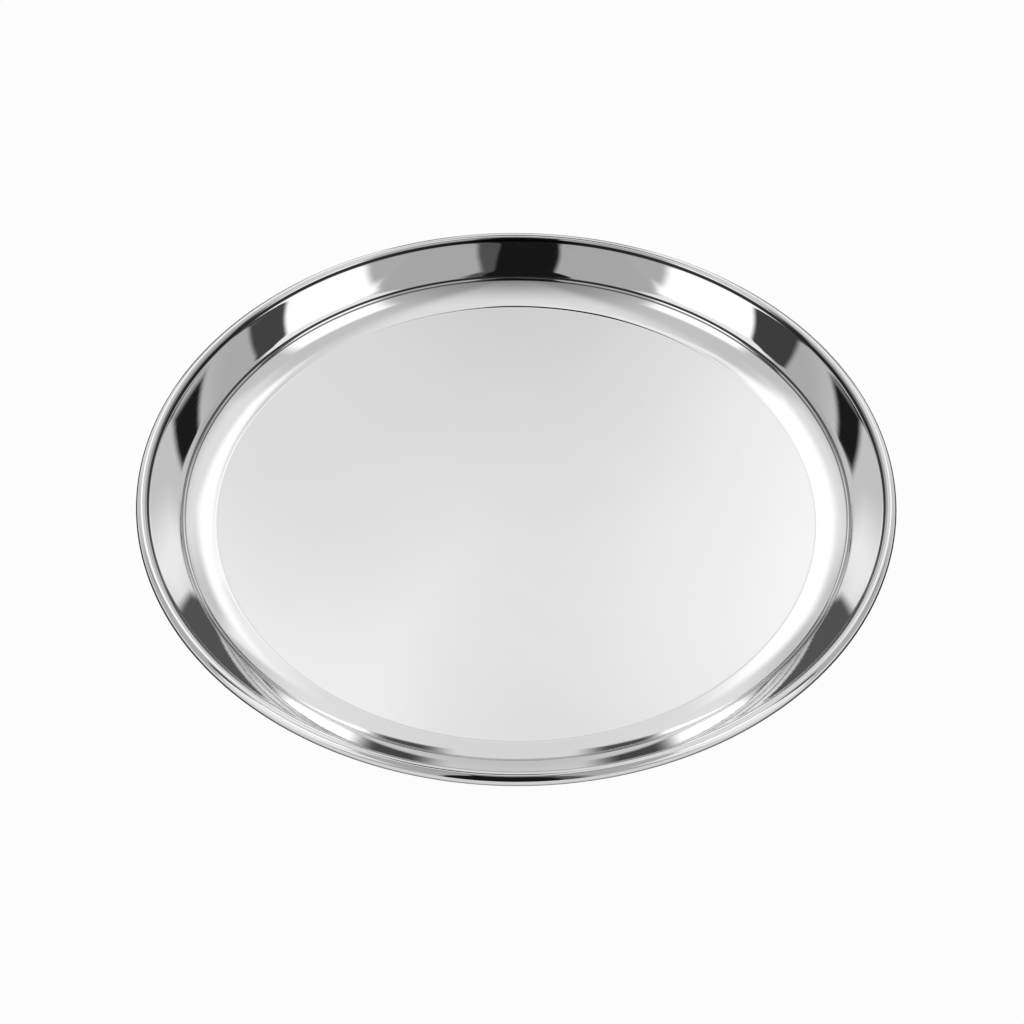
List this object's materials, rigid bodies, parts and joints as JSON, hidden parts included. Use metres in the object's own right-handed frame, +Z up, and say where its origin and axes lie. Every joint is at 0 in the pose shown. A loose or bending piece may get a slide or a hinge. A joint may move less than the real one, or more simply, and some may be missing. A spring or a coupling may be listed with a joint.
{
  "type": "steel dinner plate",
  "caption": "Round mirror-polished steel dinner plate with a flat sunk floor, dished cove, flared low wall and a rolled rim closed round a stiffening wire.",
  "frame": {"origin": "under the middle of the floor, on the surface the plate stands on", "axes": "+Z up along the plate's axis, +Y away from the viewer of the picture, +X to the viewer's right"},
  "size_m": [0.28, 0.28, 0.0136],
  "materials": {
    "polished_steel": "mirror-polished stainless steel sheet",
    "drawn_wire": "plain drawn steel wire"
  },
  "bodies": {
    "root": {"pressed_plate": "polished_steel", "rim_wire": "drawn_wire"}
  },
  "joints": []
}
